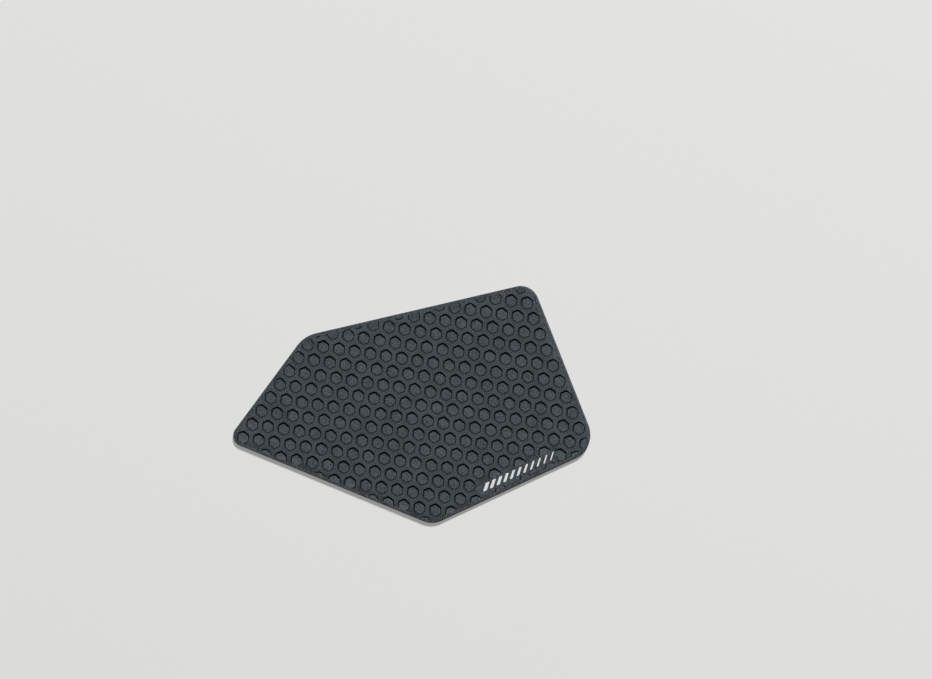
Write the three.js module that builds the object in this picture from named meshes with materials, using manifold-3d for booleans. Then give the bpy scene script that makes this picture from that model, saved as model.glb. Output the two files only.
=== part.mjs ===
// Knee pad for the side of a motorcycle's fuel tank: one moulded sheet, lying on its flat back.
// Its face has a field of hexagonal pockets inside a plain rim, and one bare panel in the field.
// Millimetres. +X points to the front of the motorcycle, +Y up the tank, +Z out of the face.
import * as THREE from "three";
import { mergeGeometries, mergeVertices } from "three/addons/utils/BufferGeometryUtils.js";
import Module from "manifold-3d";

const wasm = await Module();
wasm.setup();

// The outline's corners, anticlockwise, where its straight sides would meet, and their rounding.
const UPPER_REAR_CORNER = { x: -69.9, y: 40.7, radius: 23 };
const REAR_TIP = { x: -122.6, y: -25.3, radius: 6.5 };
const LOWER_CORNER = { x: 13.1, y: -75.4, radius: 16 };
const FRONT_CORNER = { x: 123.3, y: -25.7, radius: 16.5 };
const UPPER_FRONT_CORNER = { x: 81.6, y: 76.2, radius: 12 };
const OUTLINE = [UPPER_REAR_CORNER, REAR_TIP, LOWER_CORNER, FRONT_CORNER, UPPER_FRONT_CORNER];
const ARC_STEPS = 12;
const SHARPEST_RADIUS = 0.3;

// Section: a rounded edge, a level rim, and a relief that rises above the rim and sinks below it.
const EDGE_HEIGHT = 1.0;
const EDGE_ROUNDING = 0.5;
const EDGE_STEPS = 3;
const RIM_THICKNESS = 1.5;
const RIM_WIDTH = 1.8;
const BLEND_WIDTH = 3.2;
const WEB_RISE = 0.38;
const FLOOR_DROP = 0.38;
const WEB_TOP = RIM_THICKNESS + WEB_RISE;
const FLOOR_HEIGHT = RIM_THICKNESS - FLOOR_DROP;

// Hexagonal pockets in a honeycomb whose rows fall slightly towards the front.
const POCKET_PITCH = 10.5;
const WEB_WIDTH = 2.65;
const WALL_DRAFT = THREE.MathUtils.degToRad(33);
const ROW_TURN = THREE.MathUtils.degToRad(-6.85);
const LATTICE_ORIGIN = new THREE.Vector2(-3.0, 0.3);
const POCKET_OVERHANG = 3;

// Bare panel along the side between the front corner and the lower corner.
const PANEL_START = 26.2;
const PANEL_LENGTH = 54.5;
const PANEL_NEAR_DEPTH = 4.5;
const PANEL_FAR_DEPTH = 10.5;
const PANEL_RADIUS = 1.5;

// How far cutters reach past the faces that they cut.
const CLEAR = 0.2;

function sideDirection(outline, index) {
  const from = outline[index];
  const to = outline[(index + 1) % outline.length];
  return new THREE.Vector2(to.x - from.x, to.y - from.y).normalize();
}

// Distance from a point to the nearest straight side, positive inside the outline.
function depthInside(point, outline) {
  const depths = outline.map((corner, index) => {
    const along = sideDirection(outline, index);
    return along.x * (point.y - corner.y) - along.y * (point.x - corner.x);
  });
  return Math.min(...depths);
}

// The rounded outline at one height, with every side moved inwards by the inset.
function ring(outline, inset, height) {
  return outline.flatMap((corner, index) => {
    const toNext = sideDirection(outline, index);
    const toPrevious = sideDirection(outline, (index + outline.length - 1) % outline.length).negate();
    const halfAngle = Math.acos(toNext.dot(toPrevious)) / 2;
    const inward = toNext.clone().add(toPrevious).normalize();
    const radius = Math.max(corner.radius - inset, SHARPEST_RADIUS);
    const centre = new THREE.Vector2(corner.x, corner.y)
      .addScaledVector(inward, (inset + radius) / Math.sin(halfAngle));
    const halfSweep = Math.PI / 2 - halfAngle;
    const middle = Math.atan2(-inward.y, -inward.x);
    return Array.from({ length: ARC_STEPS + 1 }, (_, step) => {
      const angle = middle + halfSweep * ((2 * step) / ARC_STEPS - 1);
      const x = centre.x + radius * Math.cos(angle);
      const y = centre.y + radius * Math.sin(angle);
      return new THREE.Vector3(x, y, height);
    });
  });
}

// Closed solid lofted through an outline's rings, given from the bottom up as [inset, height].
function loft(outline, levels) {
  const rings = levels.map(([inset, height]) => ring(outline, inset, height));
  const count = rings[0].length;
  const last = count * (rings.length - 1);
  const faces = [];
  for (let step = 1; step < count - 1; step += 1) {
    faces.push(0, step + 1, step);
    faces.push(last, last + step, last + step + 1);
  }
  for (let level = 0; level < rings.length - 1; level += 1) {
    for (let step = 0; step < count; step += 1) {
      const here = level * count + step;
      const next = level * count + ((step + 1) % count);
      faces.push(here, next, next + count);
      faces.push(here, next + count, here + count);
    }
  }
  const geometry = new THREE.BufferGeometry().setFromPoints(rings.flat());
  geometry.setIndex(faces);
  return solid(geometry);
}

function solid(geometry) {
  geometry.deleteAttribute("normal");
  geometry.deleteAttribute("uv");
  const merged = mergeVertices(geometry, 1e-4);
  const vertProperties = new Float32Array(merged.attributes.position.array);
  const triVerts = new Uint32Array(merged.index.array);
  return new wasm.Manifold(new wasm.Mesh({ numProp: 3, vertProperties, triVerts }));
}

// The panel's rectangle, placed by its distance from the front corner and its depth from the side.
function panelOutline() {
  const side = OUTLINE.indexOf(LOWER_CORNER);
  const along = sideDirection(OUTLINE, side).negate();
  const inward = new THREE.Vector2(along.y, -along.x);
  const corner = (distance, depth) => {
    const x = FRONT_CORNER.x + along.x * distance + inward.x * depth;
    const y = FRONT_CORNER.y + along.y * distance + inward.y * depth;
    return { x, y, radius: PANEL_RADIUS };
  };
  const end = PANEL_START + PANEL_LENGTH;
  return [
    corner(PANEL_START, PANEL_NEAR_DEPTH),
    corner(PANEL_START, PANEL_FAR_DEPTH),
    corner(end, PANEL_FAR_DEPTH),
    corner(end, PANEL_NEAR_DEPTH),
  ];
}

// The centres of the pockets: past the rim only those that still bite into the field, and none
// in the panel.
function pocketCentres(panel) {
  const rowSpacing = POCKET_PITCH * Math.sin(Math.PI / 3);
  const reach = Math.max(...OUTLINE.map((corner) => Math.hypot(corner.x, corner.y)));
  const rows = Math.ceil(reach / rowSpacing) + 1;
  const centres = [];
  for (let row = -rows; row <= rows; row += 1) {
    for (let place = -rows; place <= rows; place += 1) {
      const shift = row % 2 === 0 ? 0 : 0.5;
      const centre = new THREE.Vector2(POCKET_PITCH * (place + shift), rowSpacing * row);
      centre.rotateAround(new THREE.Vector2(0, 0), ROW_TURN).add(LATTICE_ORIGIN);
      const inField = depthInside(centre, OUTLINE) > RIM_WIDTH - POCKET_OVERHANG;
      const inPanel = depthInside(centre, panel) > 0;
      if (inField && !inPanel) {
        centres.push(centre);
      }
    }
  }
  return centres;
}

// One pocket's cutter: a hexagonal frustum from the floor to just above the webs.
function pocketCutter(centre) {
  const lipFlats = POCKET_PITCH - WEB_WIDTH;
  const spread = Math.tan(WALL_DRAFT);
  const depth = WEB_TOP - FLOOR_HEIGHT;
  const flatsToRadius = 1 / Math.sqrt(3);
  const topRadius = (lipFlats + 2 * CLEAR * spread) * flatsToRadius;
  const floorRadius = (lipFlats - 2 * depth * spread) * flatsToRadius;
  const height = depth + CLEAR;
  const cutter = new THREE.CylinderGeometry(topRadius, floorRadius, height, 6);
  cutter.rotateX(Math.PI / 2);
  cutter.rotateZ(ROW_TURN);
  cutter.translate(centre.x, centre.y, FLOOR_HEIGHT + height / 2);
  return cutter;
}

// How far the relief's boundary moves at a height, away from the rim or the panel.
function blendAt(height) {
  const step = height > RIM_THICKNESS ? WEB_RISE : FLOOR_DROP;
  return (BLEND_WIDTH * Math.abs(height - RIM_THICKNESS)) / step;
}

// The edge's rounding from its upright side to the rim, as a quarter of an ellipse.
function edgeLevels() {
  return Array.from({ length: EDGE_STEPS + 1 }, (_, step) => {
    const angle = (Math.PI / 2) * (step / EDGE_STEPS);
    const inset = EDGE_ROUNDING * (1 - Math.cos(angle));
    return [inset, EDGE_HEIGHT + (RIM_THICKNESS - EDGE_HEIGHT) * Math.sin(angle)];
  });
}

function padSolid() {
  const panel = panelOutline();
  const sheet = loft(OUTLINE, [[0, 0], ...edgeLevels()]);

  const overWebs = WEB_TOP + CLEAR;
  const field = loft(OUTLINE, [
    [RIM_WIDTH, RIM_THICKNESS - CLEAR],
    [RIM_WIDTH, RIM_THICKNESS],
    [RIM_WIDTH + BLEND_WIDTH, WEB_TOP],
  ]);
  const fieldGap = loft(panel, [
    [0, 0],
    [0, RIM_THICKNESS],
    [-blendAt(overWebs), overWebs],
  ]);

  const underFloors = FLOOR_HEIGHT - CLEAR;
  const pocketZone = loft(OUTLINE, [
    [RIM_WIDTH + blendAt(underFloors), underFloors],
    [RIM_WIDTH, RIM_THICKNESS],
    [RIM_WIDTH, overWebs],
  ]);
  const pocketGap = loft(panel, [
    [-blendAt(underFloors - CLEAR), underFloors - CLEAR],
    [0, RIM_THICKNESS],
    [0, overWebs + CLEAR],
  ]);

  const cutters = solid(mergeGeometries(pocketCentres(panel).map(pocketCutter)));
  const pockets = cutters.intersect(pocketZone.subtract(pocketGap));
  return sheet.add(field.subtract(fieldGap)).subtract(pockets);
}

const { vertProperties, triVerts } = padSolid().getMesh();
const padGeometry = new THREE.BufferGeometry();
padGeometry.setAttribute("position", new THREE.BufferAttribute(vertProperties, 3));
padGeometry.setIndex(new THREE.BufferAttribute(triVerts, 1));
padGeometry.computeBoundingBox();
const middle = padGeometry.boundingBox.getCenter(new THREE.Vector3());
padGeometry.translate(-middle.x, -middle.y, 0);
padGeometry.computeVertexNormals();

const rubber = new THREE.MeshStandardMaterial({ color: 0x454b4f, roughness: 0.75, metalness: 0 });
const pad = new THREE.Mesh(padGeometry, rubber);
pad.name = "tank_pad";

const group = new THREE.Group();
group.add(pad);

export default group;
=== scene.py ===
"""Motorcycle tank pad: one moulded rubber sheet with a honeycomb of grip pockets, on a pale floor.

The pad lies on its flat back. Sizes are in millimetres, apart from those whose comment says
metres, and become metres where a mesh or the camera is made. The fine mesh stands for the plain
CAD solid and follows its sizes.
"""

import math

import bpy
from mathutils import Matrix, Vector
from mathutils.geometry import delaunay_2d_cdt


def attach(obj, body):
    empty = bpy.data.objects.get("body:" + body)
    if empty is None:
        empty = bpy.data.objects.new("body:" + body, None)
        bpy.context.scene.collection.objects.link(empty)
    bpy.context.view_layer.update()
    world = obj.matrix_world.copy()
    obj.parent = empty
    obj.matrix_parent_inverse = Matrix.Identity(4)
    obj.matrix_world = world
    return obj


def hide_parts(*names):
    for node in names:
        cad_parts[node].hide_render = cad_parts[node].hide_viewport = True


MM = 0.001
SIXTH = math.tau / 6

# The outline's corners, anticlockwise: where its straight sides would meet, and their rounding.
CORNERS = [
    (-69.9, 40.7, 23.0),
    (-122.6, -25.3, 6.5),
    (13.1, -75.4, 16.0),
    (123.3, -25.7, 16.5),
    (81.6, 76.2, 12.0),
]
LOWER_CORNER = 2
FRONT_CORNER = 3
CORNER_STEPS = 24
SHARPEST_RADIUS = 0.3

# Section: a rounded edge, a level rim, and a relief that rises above it and sinks below it.
EDGE_HEIGHT = 1.0
EDGE_ROUNDING = 0.5
EDGE_STEPS = 4
RIM_THICKNESS = 1.5
RIM_WIDTH = 1.8
BLEND_WIDTH = 3.2
BLEND_STEPS = 3
WEB_RISE = 0.38
FLOOR_DROP = 0.38

# Hexagonal pockets in a honeycomb whose rows fall slightly towards the front.
POCKET_PITCH = 10.5
ROW_SPACING = POCKET_PITCH * math.sin(math.pi / 3)
ROW_TURN = math.radians(-6.85)
LATTICE_ORIGIN = Vector((-3.0, 0.3))
POCKET_OVERHANG = 3.0
WEB_WIDTH = 2.65
LIP_FLAT = (POCKET_PITCH - WEB_WIDTH) / 2
POCKET_CORNER_RADIUS = 1.9
POCKET_CORNER_STEPS = 4
POCKET_SIDE_STEPS = 3
WALL_DRAFT = math.radians(33)
WALL_FILLET = 0.15
FILLET_STEPS = 2

# Tone of the rubber against that of the webs: the pocket floors are lighter, and the pocket walls
# are darkened as painted shade. The painted shade reaches a little onto the floor, it fades at
# both ends, and the tones and the painted shade all fade out at the field's border.
FLOOR_TONE = 1.16
WALL_PAINTED_SHADE = 0.17
PAINTED_SHADE_REACH = 0.1
PAINTED_SHADE_FADE = 0.08
FIELD_FADE = 0.6

# Bare panel along the side between the front corner and the lower corner.
PANEL_START = 26.2
PANEL_LENGTH = 54.5
PANEL_NEAR_DEPTH = 4.5
PANEL_FAR_DEPTH = 10.5
PANEL_RADIUS = 1.5
PANEL_CORNER_STEPS = 12

# Mesh: how far lines run on past the field's border, how many halvings find their ends, how close
# points become one, and from which angle an edge is sharp. Triangles fill the drawing's hull.
LINE_OVERRUN = 0.2
HALVINGS = 8
MERGE_DISTANCE = 1e-5
SHARP_ANGLE = math.radians(50)
FILL_HULL = 0

# Print on the panel: a row of leaning bars that thin out towards the front.
PRINT_MARGIN = 3.2
PRINT_NEAR_DEPTH = 5.3
PRINT_FAR_DEPTH = 9.5
PRINT_HEIGHT = 0.03
BAR_COUNT = 11
WIDEST_BAR = 2.8
NARROWEST_BAR = 1.0
BAR_LEAN = math.radians(44)
BAR_CORNER_RADIUS = 0.2
BAR_CORNER_STEPS = 3

# Noises of the materials: how many of their features go into a metre.
CLOUD_SCALE = 90.0
SPECKLE_SCALE = 1600.0
WEAR_SCALE = 1400.0
GRAIN_SCALE = 2400.0

# Rubber and print: their two colours, each with the noise value at which it is reached, and the
# height of their bump in metres. The rubber's noise is mostly speckle, and the rest is cloud.
DARK_RUBBER = (0.31, (0.007, 0.008, 0.009))
LIGHT_RUBBER = (0.69, (0.100, 0.118, 0.132))
SPECKLE_SHARE = 0.88
RUBBER_BUMP = 0.00015
WORN_PRINT = (0.3, (0.52, 0.53, 0.54))
CLEAN_PRINT = (0.5, (0.76, 0.77, 0.78))
PRINT_BUMP = 0.0001

# Ground: its size and the gap under the pad in metres, its colour, and the glow that only the
# camera sees in it, so that its shadows stay pale.
GROUND_SIZE = 40.0
GROUND_GAP = 0.00005
GROUND_COLOUR = (0.48, 0.48, 0.475)
GROUND_GLOW = 0.26
GLOW_COLOUR = (1.0, 1.0, 0.99)

# Camera: tilted from the pad's normal towards its front, with a very long lens. The photo's scale
# is in millimetres to a pixel.
CAMERA_TILT = math.radians(21.84)
TILT_DIRECTION = math.radians(14.23)
AIM_POINT = Vector((37.9, 40.4, 1.9))
PHOTO_WIDTH = 932
PHOTO_SCALE = 0.6185
LENS = 1200.0
SENSOR = 36.0
CLIP_RATIO = 10

# Key light: its angle from the pad's normal, the direction that it comes from, its distance and
# size in metres, and its power in watts.
KEY_TILT = math.radians(63)
KEY_DIRECTION = math.radians(67)
KEY_DISTANCE = 12.0
KEY_SIZE = 1.8
KEY_POWER = 2830
WORLD_LIGHT = 0.08


def side_direction(corners, index):
    here = Vector(corners[index][:2])
    following = Vector(corners[(index + 1) % len(corners)][:2])
    return (following - here).normalized()


def corner_arcs(corners, inset=0.0):
    """Centre, radius, middle angle and half sweep of each rounded corner of an inset outline."""
    arcs = []
    for index, (x, y, rounding) in enumerate(corners):
        to_next = side_direction(corners, index)
        to_previous = -side_direction(corners, index - 1)
        half_angle = to_next.angle(to_previous) / 2
        inward = (to_next + to_previous).normalized()
        radius = max(rounding - inset, SHARPEST_RADIUS)
        centre = Vector((x, y)) + inward * ((inset + radius) / math.sin(half_angle))
        middle = math.atan2(-inward.y, -inward.x)
        arcs.append((centre, radius, middle, math.pi / 2 - half_angle))
    return arcs


def outline_ring(corners, inset, steps):
    """Points of a rounded outline whose sides are all moved inwards by the inset."""
    points = []
    for centre, radius, middle, half_sweep in corner_arcs(corners, inset):
        for step in range(steps + 1):
            angle = middle + half_sweep * (2 * step / steps - 1)
            points.append(centre + radius * Vector((math.cos(angle), math.sin(angle))))
    return points


class RoundedOutline:
    """A convex outline with rounded corners that can tell how deep inside it a point lies."""

    def __init__(self, corners):
        self.sides = [
            (Vector(corner[:2]), side_direction(corners, index))
            for index, corner in enumerate(corners)
        ]
        self.arcs = corner_arcs(corners)

    def straight_depth(self, point):
        """Depth from the straight sides alone, as if the corners were sharp."""
        return min(along.cross(point - start) for start, along in self.sides)

    def depth(self, point):
        depth = self.straight_depth(point)
        for centre, radius, middle, half_sweep in self.arcs:
            arm = point - centre
            turn = math.remainder(math.atan2(arm.y, arm.x) - middle, math.tau)
            if abs(turn) < half_sweep:
                depth = min(depth, radius - arm.length)
        return depth


def beside_lower_side(distance, depth):
    """A point by its distance from the front corner along the lower side, and depth from it."""
    along = -side_direction(CORNERS, LOWER_CORNER)
    inward = Vector((along.y, -along.x))
    return Vector(CORNERS[FRONT_CORNER][:2]) + along * distance + inward * depth


def panel_corners():
    end = PANEL_START + PANEL_LENGTH
    spots = [
        (PANEL_START, PANEL_NEAR_DEPTH),
        (PANEL_START, PANEL_FAR_DEPTH),
        (end, PANEL_FAR_DEPTH),
        (end, PANEL_NEAR_DEPTH),
    ]
    return [(*beside_lower_side(*spot), PANEL_RADIUS) for spot in spots]


def outline_middle():
    """Middle of the outline's bounding box, which is where the object's origin lies."""
    ring = outline_ring(CORNERS, 0, CORNER_STEPS)
    xs = [point.x for point in ring]
    ys = [point.y for point in ring]
    return Vector((max(xs) + min(xs), max(ys) + min(ys))) / 2


MIDDLE = outline_middle()
PAD = RoundedOutline(CORNERS)
PANEL_CORNERS = panel_corners()
PANEL = RoundedOutline(PANEL_CORNERS)


def depth_in_field(point):
    """How far a point lies inside the field's border, at the rim or at the panel."""
    return min(PAD.depth(point) - RIM_WIDTH, -PANEL.depth(point))


def lattice_point(row, place):
    shift = 0.5 * (row % 2)
    spot = Vector((POCKET_PITCH * (place + shift), ROW_SPACING * row))
    spot.rotate(Matrix.Rotation(ROW_TURN, 2))
    return spot + LATTICE_ORIGIN


def pocket_centres():
    """Centres by row and place: past the rim only where a pocket bites in, none in the panel."""
    reach = max(math.hypot(x, y) for x, y, _ in CORNERS)
    rows = math.ceil(reach / ROW_SPACING) + 1
    centres = {}
    for row in range(-rows, rows + 1):
        for place in range(-rows, rows + 1):
            centre = lattice_point(row, place)
            bites_in = PAD.straight_depth(centre) > RIM_WIDTH - POCKET_OVERHANG
            in_panel = PANEL.straight_depth(centre) > 0
            if bites_in and not in_panel:
                centres[row, place] = centre
    return centres


POCKETS = pocket_centres()


def nearest_pocket(point):
    """Centre of the pocket in whose honeycomb cell a point lies, or None if that has no pocket."""
    local = point - LATTICE_ORIGIN
    local.rotate(Matrix.Rotation(-ROW_TURN, 2))
    nearest_row = round(local.y / ROW_SPACING)
    spots = [
        (row, round(local.x / POCKET_PITCH - 0.5 * (row % 2)))
        for row in (nearest_row - 1, nearest_row, nearest_row + 1)
    ]
    nearest = min(spots, key=lambda spot: (lattice_point(*spot) - point).length)
    return POCKETS.get(nearest)


def pocket_offset(point, centre):
    """Distance outwards from a pocket's rounded lip, negative inside the pocket."""
    local = point - centre
    local.rotate(Matrix.Rotation(-ROW_TURN, 2))
    sector = round(math.atan2(local.y, local.x) / SIXTH)
    local.rotate(Matrix.Rotation(-sector * SIXTH, 2))
    inner_flat = LIP_FLAT - POCKET_CORNER_RADIUS
    beyond = local.x - inner_flat
    if beyond <= 0:
        return beyond - POCKET_CORNER_RADIUS
    past_corner = max(abs(local.y) - inner_flat * math.tan(SIXTH / 2), 0)
    return math.hypot(beyond, past_corner) - POCKET_CORNER_RADIUS


def pocket_ring(centre, offset, side_steps):
    """Points round a pocket at a distance from its lip."""
    flat = LIP_FLAT + offset
    radius = POCKET_CORNER_RADIUS + offset
    reach = (flat - radius) / math.cos(SIXTH / 2)
    points = []
    for corner in range(6):
        turn = ROW_TURN + (corner + 0.5) * SIXTH
        heart = centre + reach * Vector((math.cos(turn), math.sin(turn)))
        for step in range(POCKET_CORNER_STEPS + 1):
            angle = turn + SIXTH * (step / POCKET_CORNER_STEPS - 0.5)
            points.append(heart + radius * Vector((math.cos(angle), math.sin(angle))))
        next_turn = turn + SIXTH
        angle = turn + SIXTH / 2
        side_end = centre + reach * Vector((math.cos(next_turn), math.sin(next_turn)))
        side_end += radius * Vector((math.cos(angle), math.sin(angle)))
        side_start = points[-1]
        for step in range(1, side_steps):
            points.append(side_start.lerp(side_end, step / side_steps))
    return points


def wall_profile():
    """A pocket from floor to web as (offset from lip, height above floor, tone with painted wall
    shade).
    """
    depth = WEB_RISE + FLOOR_DROP
    turn = math.pi / 2 - WALL_DRAFT
    tangent = WALL_FILLET * math.tan(turn / 2)
    foot = -depth * math.tan(WALL_DRAFT) - tangent
    foot_fillet = []
    lip_fillet = []
    for step in range(FILLET_STEPS + 1):
        angle = turn * step / FILLET_STEPS
        run = WALL_FILLET * math.sin(angle)
        rise = WALL_FILLET * (1 - math.cos(angle))
        # The wall's fillets carry the painted shade.
        foot_fillet.append((foot + run, rise, WALL_PAINTED_SHADE))
        lip_fillet.append((tangent - run, depth - rise, WALL_PAINTED_SHADE))
    return [
        # From the floor's tone into the painted wall shade, and out to the web's tone.
        (foot - PAINTED_SHADE_REACH - PAINTED_SHADE_FADE, 0.0, FLOOR_TONE),
        (foot - PAINTED_SHADE_REACH, 0.0, WALL_PAINTED_SHADE),
        *foot_fillet,
        *reversed(lip_fillet),
        (tangent + PAINTED_SHADE_FADE, depth, 1.0),
    ]


PROFILE = wall_profile()


def read_profile(offset):
    """Height above the floor and tone, with the painted wall shade, at a distance from the lip."""
    if offset <= PROFILE[0][0]:
        return PROFILE[0][1:]
    for (start, *before), (end, *after) in zip(PROFILE, PROFILE[1:]):
        if offset <= end:
            share = (offset - start) / (end - start)
            return [a + (b - a) * share for a, b in zip(before, after)]
    return PROFILE[-1][1:]


def limited(share):
    return min(max(share, 0.0), 1.0)


def surface(point):
    """Height of the face above the back, and the tone of its rubber with the painted shade of the
    pocket walls.
    """
    depth = PAD.depth(point)
    if depth < EDGE_ROUNDING:
        share = 1 - limited(depth / EDGE_ROUNDING)
        return EDGE_HEIGHT + (RIM_THICKNESS - EDGE_HEIGHT) * math.sqrt(1 - share * share), 1.0
    centre = nearest_pocket(point)
    offset = POCKET_PITCH if centre is None else pocket_offset(point, centre)
    height, tone_and_shade = read_profile(offset)
    inside = depth_in_field(point)
    relief = limited(inside / BLEND_WIDTH)
    contrast = limited(inside / FIELD_FADE)
    return RIM_THICKNESS + relief * (height - FLOOR_DROP), 1 + contrast * (tone_and_shade - 1)


def anywhere(point):
    return True


def about_field(point):
    """Whether a point lies in the field or just past its border."""
    return depth_in_field(point) > -LINE_OVERRUN


def last_kept(kept, dropped, keep):
    """The end of a line from a kept point towards a dropped one, close to where keeping ends."""
    for _ in range(HALVINGS):
        middle = (kept + dropped) / 2
        if keep(middle):
            kept = middle
        else:
            dropped = middle
    return kept


class Drawing:
    """Points and lines that the face's triangles keep to."""

    def __init__(self):
        self.points = []
        self.lines = []

    def add(self, point):
        self.points.append(point)
        return len(self.points) - 1

    def loop(self, points, keep):
        """Those stretches of a closed line that are kept."""
        places = [self.add(point) if keep(point) else None for point in points]
        for index, place in enumerate(places):
            following = (index + 1) % len(points)
            if place is not None and places[following] is not None:
                self.lines.append((place, places[following]))
            elif place is not None:
                end = last_kept(points[index], points[following], keep)
                self.lines.append((place, self.add(end)))
            elif places[following] is not None:
                end = last_kept(points[following], points[index], keep)
                self.lines.append((places[following], self.add(end)))


def draw_face():
    """The face's drawing, whose first points are the outline's, and how many those are."""
    drawing = Drawing()
    for step in range(EDGE_STEPS + 1):
        inset = EDGE_ROUNDING * (1 - math.cos(math.pi / 2 * step / EDGE_STEPS))
        drawing.loop(outline_ring(CORNERS, inset, CORNER_STEPS), anywhere)
    moves = [0, FIELD_FADE / 2]
    for step in range(BLEND_STEPS + 1):
        moves.append(FIELD_FADE + (BLEND_WIDTH - FIELD_FADE) * step / BLEND_STEPS)
    for move in moves:
        drawing.loop(outline_ring(CORNERS, RIM_WIDTH + move, CORNER_STEPS), about_field)
        drawing.loop(outline_ring(PANEL_CORNERS, -move, PANEL_CORNER_STEPS), about_field)
    for centre in POCKETS.values():
        is_whole = depth_in_field(centre) > POCKET_PITCH / 2
        side_steps = 1 if is_whole else POCKET_SIDE_STEPS
        for offset, _, _ in PROFILE:
            drawing.loop(pocket_ring(centre, offset, side_steps), about_field)
    return drawing, len(CORNERS) * (CORNER_STEPS + 1)


def new_mesh(name, vertices, polygons):
    mesh = bpy.data.meshes.new(name)
    mesh.from_pydata([Vector(vertex) * MM for vertex in vertices], [], polygons)
    mesh.validate(verbose=True)
    return mesh


def pad_mesh():
    drawing, rim_count = draw_face()
    flat, _, faces, origins, _, _ = delaunay_2d_cdt(
        drawing.points, drawing.lines, [], FILL_HULL, MERGE_DISTANCE
    )
    vertices = []
    tones_and_shades = []
    rim = [None] * rim_count
    for index, (point, sources) in enumerate(zip(flat, origins)):
        height, tone_and_shade = surface(point)
        vertices.append((*(point - MIDDLE), height))
        tones_and_shades.append(tone_and_shade)
        for source in sources:
            if source < rim_count:
                rim[source] = index
    base = len(vertices)
    for index in rim:
        x, y, _ = vertices[index]
        vertices.append((x, y, 0.0))
        tones_and_shades.append(1.0)
    polygons = [tuple(face) for face in faces]
    for step in range(rim_count):
        following = (step + 1) % rim_count
        polygons.append((base + step, base + following, rim[following], rim[step]))
    polygons.append(tuple(base + step for step in reversed(range(rim_count))))
    mesh = new_mesh("grip_pad", vertices, polygons)
    # This attribute holds the floors' tone and the painted shade of the pocket walls.
    mesh.attributes.new("tone_and_shade", "FLOAT", "POINT").data.foreach_set("value", tones_and_shades)
    mesh.shade_smooth()
    mesh.set_sharp_from_angle(angle=SHARP_ANGLE)
    return mesh


def bar_corners(index):
    """Corners of one bar of the print, counted from the front."""
    share = index / (BAR_COUNT - 1)
    start = PANEL_START + PRINT_MARGIN
    distance = start + (PANEL_LENGTH - 2 * PRINT_MARGIN) * share
    half = (NARROWEST_BAR + (WIDEST_BAR - NARROWEST_BAR) * share) / 2
    lean = (PRINT_FAR_DEPTH - PRINT_NEAR_DEPTH) / 2 * math.tan(BAR_LEAN)
    spots = [
        (distance - half + lean, PRINT_NEAR_DEPTH),
        (distance - half - lean, PRINT_FAR_DEPTH),
        (distance + half - lean, PRINT_FAR_DEPTH),
        (distance + half + lean, PRINT_NEAR_DEPTH),
    ]
    return [(*beside_lower_side(*spot), BAR_CORNER_RADIUS) for spot in spots]


def print_mesh():
    """The bars as thin closed plates, which reach as far into the panel as they stand above it."""
    vertices = []
    polygons = []
    for index in range(BAR_COUNT):
        ring = outline_ring(bar_corners(index), 0, BAR_CORNER_STEPS)
        count = len(ring)
        base = len(vertices)
        for height in (RIM_THICKNESS - PRINT_HEIGHT, RIM_THICKNESS + PRINT_HEIGHT):
            vertices.extend((*(point - MIDDLE), height) for point in ring)
        polygons.append(tuple(base + step for step in reversed(range(count))))
        polygons.append(tuple(base + count + step for step in range(count)))
        for step in range(count):
            here = base + step
            following = base + (step + 1) % count
            polygons.append((here, following, following + count, here + count))
    return new_mesh("panel_print", vertices, polygons)


def new_material(name):
    material = bpy.data.materials.new(name)
    material.use_nodes = True
    tree = material.node_tree
    return material, tree, tree.nodes["Principled BSDF"]


def add_node(tree, kind, location, **values):
    """A node whose values are set by name, as its own settings or else on its sockets."""
    node = tree.nodes.new(kind)
    node.location = location
    for name, value in values.items():
        if hasattr(node, name):
            setattr(node, name, value)
        else:
            node.inputs[name.replace("_", " ")].default_value = value
    return node


def add_noise(tree, place, location, scale, detail):
    noise = add_node(tree, "ShaderNodeTexNoise", location, Scale=scale, Detail=detail)
    tree.links.new(place.outputs["Object"], noise.inputs["Vector"])
    return noise.outputs["Fac"]


def add_ramp(tree, location, amount, stops):
    """A blend between two colours, each given with the amount at which it is reached."""
    ramp = add_node(tree, "ShaderNodeValToRGB", location)
    for element, (position, colour) in zip(ramp.color_ramp.elements, stops):
        element.position = position
        element.color = (*colour, 1)
    tree.links.new(amount, ramp.inputs["Fac"])
    return ramp.outputs["Color"]


def add_bump(tree, shader, location, height, strength, distance):
    bump = add_node(tree, "ShaderNodeBump", location, Strength=strength, Distance=distance)
    tree.links.new(height, bump.inputs["Height"])
    tree.links.new(bump.outputs["Normal"], shader.inputs["Normal"])


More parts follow.
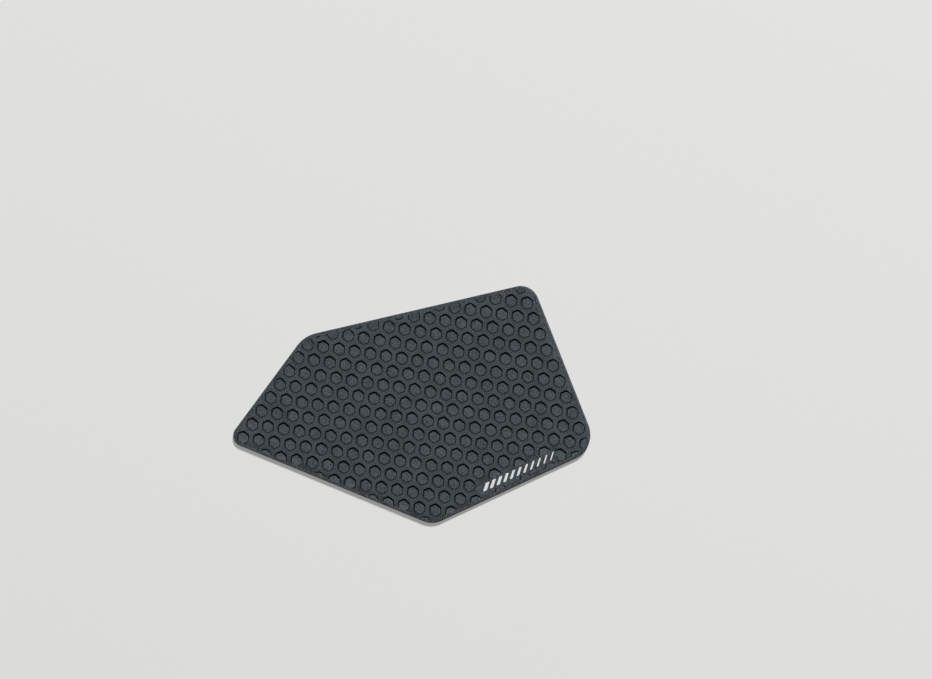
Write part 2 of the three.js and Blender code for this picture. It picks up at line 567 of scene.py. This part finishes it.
def rubber_material():
    """Matt slate rubber: fine moulded grain, cloudy colour, the floors' tone, and painted shade on
    the walls.
    """
    material, tree, shader = new_material("slate_rubber")
    shader.inputs["Specular IOR Level"].default_value = 0.12
    link = tree.links.new

    place = add_node(tree, "ShaderNodeTexCoord", (-1400, 0))
    cloud = add_noise(tree, place, (-1150, 300), CLOUD_SCALE, 2.0)
    speckle = add_noise(tree, place, (-1150, 50), SPECKLE_SCALE, 3.0)
    grain = add_noise(tree, place, (-1150, -250), GRAIN_SCALE, 2.0)

    mottle = add_node(tree, "ShaderNodeMix", (-900, 200), data_type="FLOAT")
    mottle.inputs["Factor"].default_value = SPECKLE_SHARE
    link(cloud, mottle.inputs["A"])
    link(speckle, mottle.inputs["B"])
    stops = (DARK_RUBBER, LIGHT_RUBBER)
    colour = add_ramp(tree, (-700, 250), mottle.outputs["Result"], stops)

    # The colour is scaled by the attribute that holds the floors' tone and the painted shade of
    # the walls.
    tone_and_shade = add_node(tree, "ShaderNodeAttribute", (-700, -50), attribute_name="tone_and_shade")
    toned_and_shaded = add_node(tree, "ShaderNodeVectorMath", (-400, 200), operation="SCALE")
    link(colour, toned_and_shaded.inputs[0])
    link(tone_and_shade.outputs["Fac"], toned_and_shaded.inputs["Scale"])
    link(toned_and_shaded.outputs["Vector"], shader.inputs["Base Color"])

    rough = add_node(tree, "ShaderNodeMapRange", (-400, -50), To_Min=0.75, To_Max=0.9)
    link(speckle, rough.inputs["Value"])
    link(rough.outputs["Result"], shader.inputs["Roughness"])
    add_bump(tree, shader, (-400, -300), grain, 1.0, RUBBER_BUMP)
    return material


def print_material():
    """White screen print that keeps a trace of the rubber's grain and is slightly worn."""
    material, tree, shader = new_material("white_print")
    shader.inputs["Roughness"].default_value = 0.5

    place = add_node(tree, "ShaderNodeTexCoord", (-1000, 0))
    wear = add_noise(tree, place, (-800, 150), WEAR_SCALE, 3.0)
    grain = add_noise(tree, place, (-800, -150), GRAIN_SCALE, 2.0)
    colour = add_ramp(tree, (-500, 150), wear, (WORN_PRINT, CLEAN_PRINT))
    tree.links.new(colour, shader.inputs["Base Color"])
    add_bump(tree, shader, (-500, -150), grain, 0.6, PRINT_BUMP)
    return material


def new_object(name, data):
    item = bpy.data.objects.new(name, data)
    bpy.context.scene.collection.objects.link(item)
    return item


def add_pad():
    pad = new_object("grip_pad", pad_mesh())
    pad.data.materials.append(rubber_material())
    pad.modifiers.new("even_shading", "WEIGHTED_NORMAL").keep_sharp = True
    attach(pad, "root")
    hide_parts("tank_pad")


def add_print():
    bars = new_object("panel_print", print_mesh())
    bars.data.materials.append(print_material())
    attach(bars, "root")


def add_floor():
    bpy.ops.mesh.primitive_plane_add(size=GROUND_SIZE, location=(0, 0, -GROUND_GAP))
    floor = bpy.context.object
    floor.name = "floor"
    material, tree, shader = new_material("floor_paper")
    shader.inputs["Base Color"].default_value = (*GROUND_COLOUR, 1)
    shader.inputs["Roughness"].default_value = 0.9
    shader.inputs["Specular IOR Level"].default_value = 0.2
    shader.inputs["Emission Color"].default_value = (*GLOW_COLOUR, 1)
    ray = add_node(tree, "ShaderNodeLightPath", (-600, -200))
    glow = add_node(tree, "ShaderNodeMath", (-300, -200), operation="MULTIPLY")
    glow.inputs[1].default_value = GROUND_GLOW
    tree.links.new(ray.outputs["Is Camera Ray"], glow.inputs[0])
    tree.links.new(glow.outputs["Value"], shader.inputs["Emission Strength"])
    floor.data.materials.append(material)


def direction(tilt, heading):
    """Unit vector that leans away from +Z by the tilt, towards a heading measured from +X."""
    return Vector((
        math.sin(tilt) * math.cos(heading),
        math.sin(tilt) * math.sin(heading),
        math.cos(tilt),
    ))


def add_camera():
    """A camera that looks down on the pad, tilted without being turned about its own view."""
    data = bpy.data.cameras.new("camera")
    data.lens = LENS
    data.sensor_width = SENSOR
    distance = LENS / SENSOR * PHOTO_WIDTH * PHOTO_SCALE * MM
    data.clip_start = distance / CLIP_RATIO
    data.clip_end = distance * CLIP_RATIO
    camera = new_object("camera", data)
    back = direction(CAMERA_TILT, TILT_DIRECTION)
    across = direction(math.pi / 2, TILT_DIRECTION - math.pi / 2)
    falling = back.cross(across)
    right = math.cos(TILT_DIRECTION) * falling + math.sin(TILT_DIRECTION) * across
    up = back.cross(right)
    camera.matrix_world = Matrix((right, up, back)).transposed().to_4x4()
    camera.location = AIM_POINT * MM + back * distance
    bpy.context.scene.camera = camera


def add_key_light():
    data = bpy.data.lights.new("key", "AREA")
    data.shape = "DISK"
    data.size = KEY_SIZE
    data.energy = KEY_POWER
    lamp = new_object("key", data)
    towards = direction(KEY_TILT, KEY_DIRECTION)
    lamp.location = towards * KEY_DISTANCE
    lamp.rotation_mode = "QUATERNION"
    lamp.rotation_quaternion = towards.to_track_quat("Z", "Y")


def set_world():
    world = bpy.data.worlds.new("studio")
    world.use_nodes = True
    background = world.node_tree.nodes["Background"]
    background.inputs["Color"].default_value = (1, 1, 1, 1)
    background.inputs["Strength"].default_value = WORLD_LIGHT
    bpy.context.scene.world = world


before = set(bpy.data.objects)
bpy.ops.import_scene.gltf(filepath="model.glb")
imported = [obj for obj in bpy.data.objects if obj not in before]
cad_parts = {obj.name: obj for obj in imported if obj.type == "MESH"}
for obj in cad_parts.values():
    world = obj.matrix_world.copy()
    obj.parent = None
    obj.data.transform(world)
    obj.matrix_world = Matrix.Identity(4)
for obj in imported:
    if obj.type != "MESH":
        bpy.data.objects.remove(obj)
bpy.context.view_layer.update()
add_pad()
add_print()
add_floor()
add_camera()
add_key_light()
set_world()
bpy.context.scene.view_settings.view_transform = "Standard"
